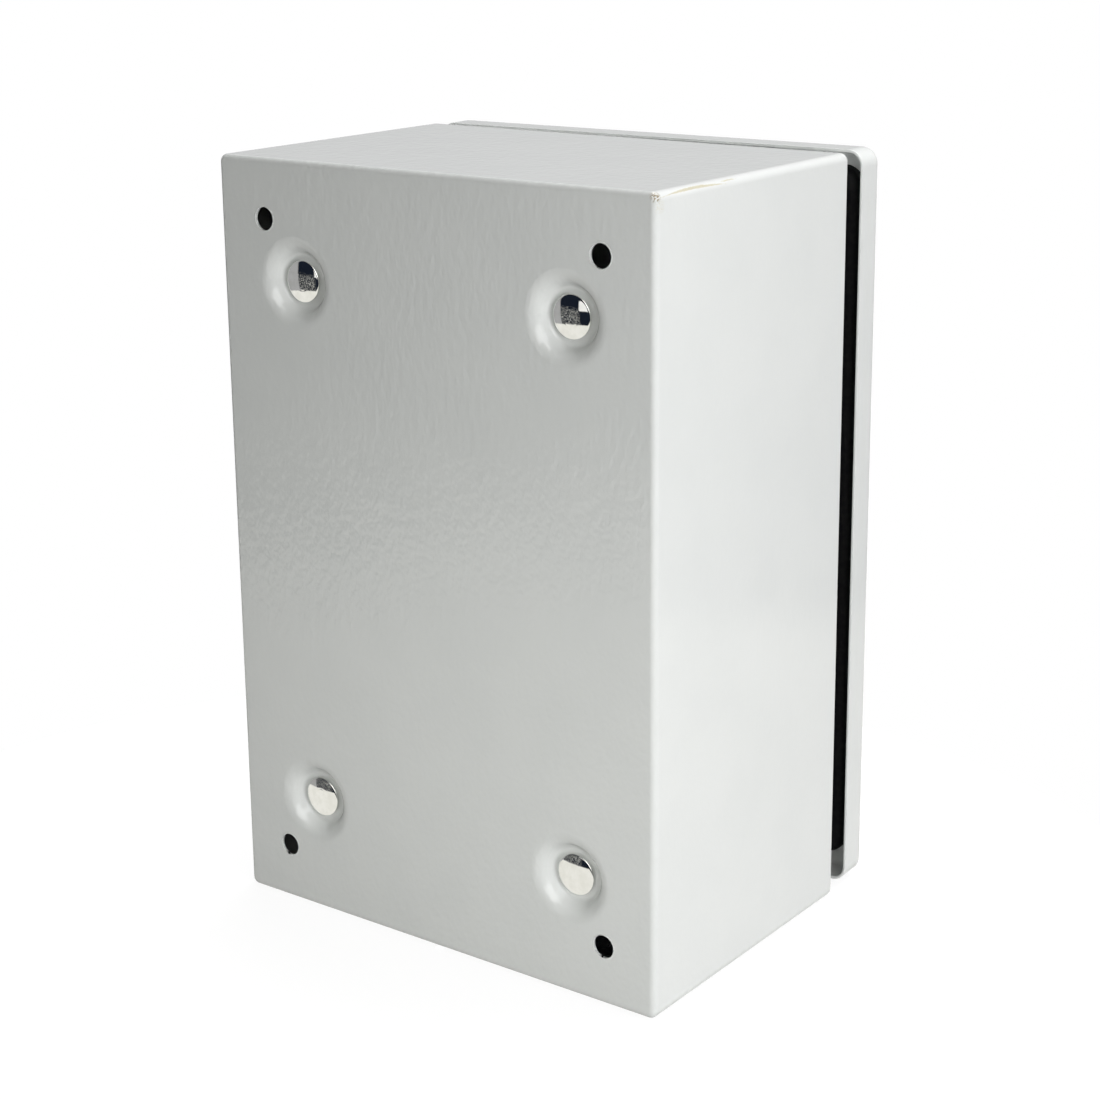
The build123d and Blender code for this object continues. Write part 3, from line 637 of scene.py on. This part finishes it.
def black_foam(name, roughness, cell, depth):
    """Black foam or rubber with a closed, slightly pitted skin."""
    material, tree, shader, place = new_finish(name, 0.0, roughness)
    shader.inputs["Specular IOR Level"].default_value = foam_shine
    patches = clouds(tree, place, foam_patch, 0.0, 1.0)
    pits = {"Place": place, "Cell size": cell, "Depth": depth}
    skin = node(tree, "ShaderNodeGroup", pits, node_tree=orange_peel)
    tree.links.new(blend_colours(tree, patches, foam_black, foam_grey), shader.inputs["Base Color"])
    tree.links.new(skin.outputs["Normal"], shader.inputs["Normal"])
    return material


foam = black_foam("foam_skin", roughness=0.55, cell=0.0006, depth=0.00004)
rubber = black_foam("lock_rubber", roughness=0.45, cell=0.0008, depth=0.00001)
print("soft finishes:", foam.name, rubber.name)

# %% [markdown]
# Each solid gets the finish of the slot that the part's record names for it. The record is the
# one list of which piece is made of what, so the script looks it up and keeps no second list.

# %% Finishes on the solids
finish_of_slot = {
    "powder_coat": paint,
    "plated_stud": stud_plating,
    "galvanised_sheet": galvanised_sheet,
    "zinc_plated": zinc_plating,
    "copper_plated_stud": copper_plating,
    "pin_steel": ground_steel,
    "foam_seal": foam,
    "lock_rubber": rubber,
    "lock_zinc": cast_zinc,
    "lock_chrome": lock_chrome,
}
for row in frame["record"]["subparts"]:
    mesh = solids[row["node"]].data
    mesh.materials.clear()
    mesh.materials.append(finish_of_slot[row["material_slot"]])

# %% [markdown]
# Small turned pieces are seen from near, so each gets a finer form than its solid has. They
# all come from one idea: a profile of radius against height is swept round an axis. Where the
# radius also changes with the angle, the same grid gives the flats of a nut or the ridge of a
# thread.

# %% Turned shapes
millimetre = 0.001
longest_corner = 0.45


def rounded_path(corners, size, steps=5, closed=False):
    """A path whose corners are softened by parabolas that start and end this far from each corner.

    From s to e round a corner c the path is (1-t)^2 s + 2t(1-t) c + t^2 e, for t from 0 to 1.
    """
    corners = np.asarray(corners, dtype=float)
    t = np.linspace(0.0, 1.0, steps)[None, :, None]
    ends = []
    for neighbour in (np.roll(corners, 1, axis=0), np.roll(corners, -1, axis=0)):
        leg = neighbour - corners
        length = np.linalg.norm(leg, axis=1, keepdims=True)
        ends.append(corners + leg / length * np.minimum(size, length * longest_corner))
    start, end = (points[:, None] for points in ends)
    curves = (1 - t) ** 2 * start + 2 * t * (1 - t) * corners[:, None] + t**2 * end
    if closed:
        return curves.reshape(-1, 2)
    return np.vstack([corners[:1], curves[1:-1].reshape(-1, 2), corners[-1:]])


def swept(radius, height, sides, poles):
    """Points and faces of a profile swept round an axis: ring i at angle a is (r cos a, r sin a, h).

    The radius is one value for each ring, or one for each ring and angle. With poles, the first
    and last rings are closed by a point on the axis, else the last ring joins the first.
    """
    angle = np.linspace(0.0, 2.0 * pi, sides, endpoint=False)
    radius = np.asarray(radius, dtype=float).reshape(len(height), -1)
    across, along = radius * np.cos(angle), radius * np.sin(angle)
    rings = np.stack(np.broadcast_arrays(across, along, height[:, None]), axis=-1)
    rows = len(height)
    index = np.arange(rows * sides).reshape(rows, sides)
    index = np.hstack([index, index[:, :1]])
    if not poles:
        index = np.vstack([index, index[:1]])
    quads = np.stack([index[:-1, :-1], index[:-1, 1:], index[1:, 1:], index[1:, :-1]], axis=-1)
    points = rings.reshape(-1, 3)
    faces = quads.reshape(-1, 4).tolist()
    if poles:
        count = len(points)
        points = np.vstack([points, [[0.0, 0.0, height[0]], [0.0, 0.0, height[-1]]]])
        faces += [[count, b, a] for a, b in zip(index[0, :-1].tolist(), index[0, 1:].tolist())]
        faces += [[count + 1, a, b] for a, b in zip(index[-1, :-1].tolist(), index[-1, 1:].tolist())]
    return points, faces


def place_copies(name, shape, feet, across, out, finish, body="cabinet", sharp=35.0):
    """Copies of a shape in millimetres, with its axis along out and its first angle along across."""
    points, faces = shape
    across, out = np.array(across, dtype=float), np.array(out, dtype=float)
    axes = np.array([across, np.cross(out, across), out])
    everywhere = (points @ axes)[None, :, :] + np.asarray(feet, dtype=float)[:, None, :]
    everywhere = everywhere.reshape(-1, 3) * millimetre
    starts = [copy * len(points) for copy in range(len(feet))]
    copied = [[corner + start for corner in face] for start in starts for face in faces]
    mesh = bpy.data.meshes.new(name)
    mesh.from_pydata(everywhere.tolist(), [], copied)
    mesh.polygons.foreach_set("use_smooth", np.ones(len(mesh.polygons), dtype=bool))
    mesh.set_sharp_from_angle(angle=radians(sharp))
    mesh.materials.append(finish)
    piece = bpy.data.objects.new(name, mesh)
    bpy.context.scene.collection.objects.link(piece)
    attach(piece, body)
    return piece


def four_feet(side, end, depth=0.0):
    """Four places on the back, as far to each side and end of its middle, at this depth into the box."""
    return [(x, -depth, z) for x in (-side, side) for z in (-end, end)]


# %% [markdown]
# A rolled thread is a ridge that winds round the shank once for each pitch, so the radius
# depends on height and angle together. The ridge is a triangle wave with its crest and root
# cut flat, and it fades out where the thread begins.

# %% Threads, nuts and washers
rings_per_pitch = 8
thread_depth = 0.55
flank_steepness = 1.3
crest_cut = 0.15
tip_share = 0.1
nut_sides = 72
nut_cone = 0.48
nut_corner = 0.08
nut_corner_rings = 6
bore_bevel = 0.12
washer_sides = 64


def thread_rows(radius, pitch, start, end, sides):
    """Rings of a thread: r = radius - depth * wave(h / pitch - a / 2 pi), and a cone at the tip."""
    height = np.arange(start, end + 1e-6, pitch / rings_per_pitch)
    turn = np.linspace(0.0, 1.0, sides, endpoint=False)
    phase = (height[:, None] / pitch - turn) % 1.0
    wave = np.clip(np.abs(2.0 * phase - 1.0) * flank_steepness - crest_cut, 0.0, 1.0)
    fade = np.clip((height[:, None] - start) / pitch, 0.0, 1.0)
    tip_cone = radius - tip_share * radius + (end - height[:, None])
    return height, np.minimum(radius - thread_depth * pitch * wave * fade, tip_cone)


def stud_shape(head, radius, pitch, start, end, sides):
    """A stud: the rings of its head, then its thread, closed by a pole at each end."""
    head = np.asarray(head, dtype=float)
    height, thread = thread_rows(radius, pitch, start, end, sides)
    head_rings = np.repeat(head[:, :1], sides, axis=1)
    return swept(np.vstack([head_rings, thread]), np.concatenate([head[:, 1], height]), sides, poles=True)


def nut_shape(width, height, bore):
    """A nut: r = the smaller of the hexagon's and a 30 degree cone's radius, with a bore inside."""
    angle = np.linspace(0.0, 2.0 * pi, nut_sides, endpoint=False)
    hexagon = width / 2 / np.cos(angle % (pi / 3) - pi / 6)
    low = np.linspace(0.0, width * nut_corner, nut_corner_rings)
    outer = np.concatenate([low, height - low[::-1]])
    cone = nut_cone * width + np.sqrt(3.0) * np.minimum(outer, height - outer)
    outside = np.minimum(hexagon, cone[:, None])
    bevel = bore * bore_bevel
    inner = np.array([height, height - bevel, bevel, 0.0])
    inside = np.repeat([[bore + bevel], [bore], [bore], [bore + bevel]], nut_sides, axis=1)
    return swept(np.vstack([outside, inside]), np.concatenate([outer, inner]), nut_sides, poles=False)


def ring_shape(outer, inner, height, size=0.25):
    """A washer: a rectangle with softened corners, swept round the axis."""
    corners = [(outer, 0.0), (outer, height), (inner, height), (inner, 0.0)]
    path = rounded_path(corners, size, closed=True)
    return swept(path[:, 0], path[:, 1], washer_sides, poles=False)


# %% [markdown]
# The plate studs carry the mounting plate. Their heads are outside, polished by plating, and
# mirror the room in a shallow dome. A faint turning mark runs round its middle. The head's
# underside tapers in, which leaves the dark groove that shows round it.

# %% Studs of the mounting plate
into_box = (0.0, -1.0, 0.0)
across_box = (1, 0, 0)
plate_stud_side = 62.5
plate_stud_end = 104.0
plate_feet = four_feet(plate_stud_side, plate_stud_end)
head_top = 3.2
head_radius = 8.0
head_dome = 0.7
head_edge = 3.95
head_rim = 4.5
head_neck = 7.1
dimple_floor = 5.4
groove = 0.05
stud_radius = 4.0
stud_pitch = 1.25
stud_tip = 19.7
mark_radius = 3.4
mark_width = 0.12
mark_height = 0.006
head_steps = 28
dome_from, dome_to = 0.01, 0.95
rim_round = 0.3
thread_gap = 0.1
head_curve = np.linspace(dome_from, dome_to, head_steps) * head_radius
turning_mark = mark_height * np.exp(-(((head_curve - mark_radius) / mark_width) ** 2))
head_depth = head_top + head_dome * (head_curve / head_radius) ** 2 + turning_mark
rim = [
    (head_curve[-1], head_depth[-1]),
    (head_radius, head_edge),
    (head_radius, head_rim),
    (head_neck, dimple_floor - groove),
    (stud_radius, dimple_floor),
]
rim = rounded_path(rim, rim_round)
plate_head = np.vstack([np.stack([head_curve, head_depth], axis=-1), rim[1:]])
plate_stud = stud_shape(plate_head, stud_radius, stud_pitch, dimple_floor + thread_gap, stud_tip, sides=96)
heads = place_copies("stud_heads", plate_stud, plate_feet, across_box, into_box, stud_plating)
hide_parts("plate_studs")
print("head rings:", len(plate_head), "plate stud faces:", len(plate_stud[1]) * len(plate_feet))

# %% [markdown]
# Inside, a washer and a nut on each stud hold the mounting plate against its dimple. They are
# standard sizes, and the nut's bore overlaps the crests of the thread, as where they mesh.

# %% Washers and nuts of the mounting plate
plate_face = 8.6
plate_washer = 1.6
plate_nut_width = 13.0
plate_nut_height = 6.5
plate_nut_bore = 3.95
washer_feet = four_feet(plate_stud_side, plate_stud_end, depth=plate_face)
washer = ring_shape(outer=8.0, inner=4.2, height=plate_washer)
rings = place_copies("plate_washer_rings", washer, washer_feet, across_box, into_box, zinc_plating)
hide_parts("plate_washers")
nut_feet = four_feet(plate_stud_side, plate_stud_end, depth=plate_face + plate_washer)
nut = nut_shape(plate_nut_width, plate_nut_height, plate_nut_bore)
nuts = place_copies("plate_hex_nuts", nut, nut_feet, across_box, into_box, zinc_plating)
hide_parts("plate_nuts")
print("plate nuts:", len(nut_feet), "washers:", len(washer_feet))

# %% [markdown]
# The gland plate covers the cable cut-out in the floor. Four welded studs, each with a foot,
# stand up through it, and a washer and a nut on each press it on its seal.

# %% Gland studs
up = (0.0, 0.0, 1.0)
floor_level = -148.8
gland_across = 62.5
gland_rear, gland_front = -32.5, -107.5
gland_feet = [(x, y, floor_level) for x in (-gland_across, gland_across) for y in (gland_front, gland_rear)]
gland_radius = 2.5
gland_foot_radius = 3.3
foot_height = 0.8
foot_step = 0.1
axis_gap = 0.05
foot_round = 0.15
gland_tip = 10.5
gland_cover = 3.5
gland_washer = 1.0


def foot_profile(foot, shank):
    """A flat foot and the start of the shank, as radius and height, from the axis outwards."""
    step = foot_height + foot_step
    corners = [(axis_gap, 0.0), (foot, 0.0), (foot, foot_height), (shank, foot_height), (shank, step)]
    return rounded_path(corners, foot_round)


gland_foot = foot_profile(gland_foot_radius, gland_radius)
gland_stud = stud_shape(gland_foot, gland_radius, pitch=0.8, start=1.0, end=gland_tip, sides=40)
studs = place_copies("gland_threaded_studs", gland_stud, gland_feet, across_box, up, copper_plating)
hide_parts("gland_studs")
gland_top = floor_level + gland_cover
ring = ring_shape(outer=5.0, inner=2.7, height=gland_washer)
ring_feet = [(x, y, gland_top) for x, y, _ in gland_feet]
rings = place_copies("gland_washer_rings", ring, ring_feet, across_box, up, zinc_plating)
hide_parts("gland_washers")
nut = nut_shape(width=8.0, height=4.0, bore=2.47)
nut_feet = [(x, y, gland_top + gland_washer) for x, y, _ in gland_feet]
nuts = place_copies("gland_hex_nuts", nut, nut_feet, across_box, up, zinc_plating)
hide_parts("gland_nuts")
print("gland studs:", len(gland_feet))

# %% [markdown]
# An earth point is a welded stud with a washer and a nut, one on the hinge side of the box and
# one on the door. Both places are read from their solids, and the door's point is turned as
# the door is, which stands a little ajar.

# %% Earth points
earth_radius = 3.0
earth_foot_radius = 3.8
earth_length = 12.0
earth_washer = 1.6
door_ajar = radians(1.6)
from_side = (-1.0, 0.0, 0.0)
across_side = (0.0, 1.0, 0.0)
from_door = (-sin(door_ajar), cos(door_ajar), 0.0)
across_door = (cos(door_ajar), sin(door_ajar), 0.0)


def earth_point(owner, body, foot, across, out):
    """The threaded stud, washer and nut of one earth point, in place of its three solids."""
    profile = foot_profile(earth_foot_radius, earth_radius)
    stud = stud_shape(profile, earth_radius, pitch=1.0, start=1.0, end=earth_length, sides=40)
    ring = ring_shape(outer=6.0, inner=3.2, height=earth_washer)
    nut = nut_shape(width=10.0, height=5.0, bore=2.97)
    seat = np.array(foot) + foot_height * np.array(out)
    nut_seat = seat + earth_washer * np.array(out)
    made = place_copies(f"{owner}_threaded_earth_stud", stud, [foot], across, out, copper_plating, body)
    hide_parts(f"{owner}_earth_stud")
    made = place_copies(f"{owner}_earth_ring", ring, [seat], across, out, zinc_plating, body)
    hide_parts(f"{owner}_earth_washer")
    made = place_copies(f"{owner}_earth_hex_nut", nut, [nut_seat], across, out, zinc_plating, body)
    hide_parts(f"{owner}_earth_nut")


def axis_foot(solid, out, length):
    """Where a turned solid's axis leaves its seat: half its length behind its middle, in millimetres."""
    low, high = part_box(solid)
    middle = (np.array(low) + np.array(high)) / 2 / millimetre
    return middle - np.array(out) * length / 2


body_foot = axis_foot("body_earth_stud", from_side, earth_length)
door_foot = axis_foot("door_earth_stud", from_door, earth_length)
earth_point("body", "cabinet", body_foot, across_side, from_side)
earth_point("door", "door", door_foot, across_door, from_door)
print("earth points at", np.round(body_foot, 1).tolist(), "and", np.round(door_foot, 1).tolist())

# %% [markdown]
# Sprayed paint draws back from a sharp edge and builds up as a bead beside it. Round each
# wall hole this bead catches the light as a thin bright ring. A bead is an ellipse swept
# round the hole's axis. Two of the holes also have a drop of paint at their lowest point. Between
# the drop and the edge of the hole a small black lump is painted shadow, in place of the gap's shade.

# %% Paint beads round the wall holes
out_of_back = (0.0, 1.0, 0.0)
across_back = (-1, 0, 0)
hole_feet = four_feet(side=77.5, end=127.0)
bead_radius = 4.72
bead_width = 0.34
bead_height = 0.20
bead_sink = 0.10
pebble_rings = 12
around = np.linspace(0.0, 2.0 * pi, 16, endpoint=False)
bead_curve = bead_radius + bead_width * np.cos(around)
bead = swept(bead_curve, bead_height * np.sin(around) - bead_sink, sides=96, poles=False)
place_copies("hole_beads", bead, hole_feet, across_back, out_of_back, paint, sharp=180.0)


def pebble(name, middle, size, finish):
    """An ellipsoid: a half circle of radius sin s and height -cos s, swept round and stretched."""
    bend = np.linspace(0.05, 0.95, pebble_rings) * pi
    points, faces = swept(np.sin(bend), -np.cos(bend), sides=24, poles=True)
    shape = (points * np.array(size), faces)
    place_copies(name, shape, [middle], across_back, out_of_back, finish, sharp=180.0)


pebble("paint_drop_right", middle=(-77.45, -0.05, -131.75), size=(1.1, 0.45, 0.25), finish=paint)
pebble("paint_drop_left", middle=(77.2, -0.05, -131.7), size=(1.0, 0.45, 0.25), finish=paint)
# These two black lumps are painted shadow: they stand for the shade in the gap between each drop and the
# edge of its hole.
pebble("painted_shadow_gap_right", middle=(-77.1, -0.05, -131.0), size=(0.42, 0.5, 0.2), finish=rubber)
pebble("painted_shadow_gap_left", middle=(78.3, -0.05, -130.9), size=(0.7, 0.7, 0.2), finish=foam)
print("beads:", len(hole_feet))
